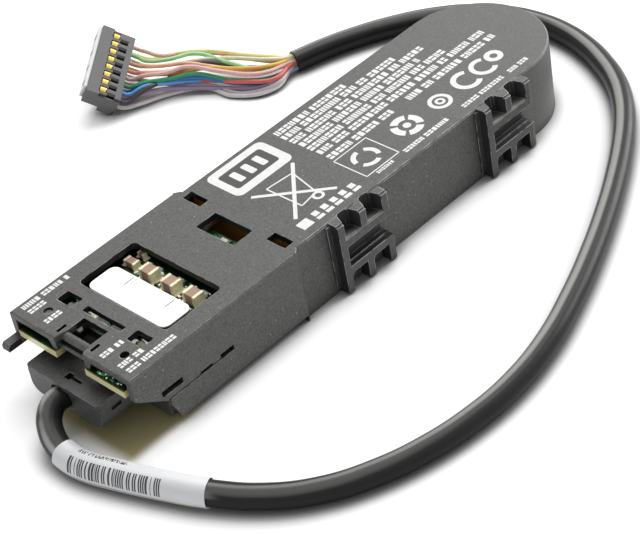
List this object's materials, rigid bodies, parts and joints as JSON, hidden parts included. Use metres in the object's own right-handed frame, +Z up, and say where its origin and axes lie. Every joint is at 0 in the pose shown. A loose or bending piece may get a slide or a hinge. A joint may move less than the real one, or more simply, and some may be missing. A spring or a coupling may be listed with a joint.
{
  "type": "raid battery module",
  "caption": "Flat black backup battery module with a round tail, side clip ribs, a circuit board behind windows in its nose, and a plug-in cable that ends in a row connector.",
  "frame": {"origin": "middle of the housing's base, halfway between its nose and its round tail, on the surface it lies on", "axes": "+X along the housing towards its round tail, +Y to its left, +Z up through the printed top face"},
  "size_m": [0.1764, 0.1658, 0.0186],
  "materials": {
    "housing": "fine grained black moulded plastic",
    "board": "green solder mask over glass fibre",
    "module": "matte dark brown",
    "label": "white printed film",
    "ceramic": "fired ceramic with tinned ends",
    "chips": "small surface parts",
    "lens": "clear lamp lens",
    "guide": "smoky clear plastic",
    "header": "black moulded plastic",
    "contacts": "gold plated",
    "plug": "satin black moulded plastic",
    "sheath": "smooth black vinyl",
    "wires": "coloured insulation",
    "connector": "dark grey moulded plastic",
    "connector_face": "pale grey moulded plastic",
    "cell": "nickel plated steel can",
    "ring": "pressboard",
    "nickel": "nickel strip",
    "holder": "dark moulded plastic",
    "film": "amber insulating film",
    "foam": "black closed cell foam",
    "sensor": "epoxy bead"
  },
  "bodies": {
    "root": {"top_cover": "housing", "base_cover": "housing", "circuit_board": "board", "power_module": "module", "module_label": "label", "ceramic_capacitors": "ceramic", "board_chips": "chips", "lamp_lenses": "lens", "light_guide": "guide", "board_header": "header", "header_pins": "contacts", "plug_upper": "plug", "plug_lower": "plug", "cable_sheath": "sheath", "cable_label": "label", "wire_bundle": "wires", "connector_housing": "connector", "connector_cap": "connector_face", "connector_contacts": "contacts", "cell_1": "cell", "cell_2": "cell", "cell_3": "cell", "cell_4": "cell", "insulating_rings": "ring", "cell_straps": "nickel", "cell_holder": "holder", "insulation_sheet": "film", "foam_pad": "foam", "temperature_sensor": "sensor", "battery_tabs": "nickel"}
  },
  "joints": []
}
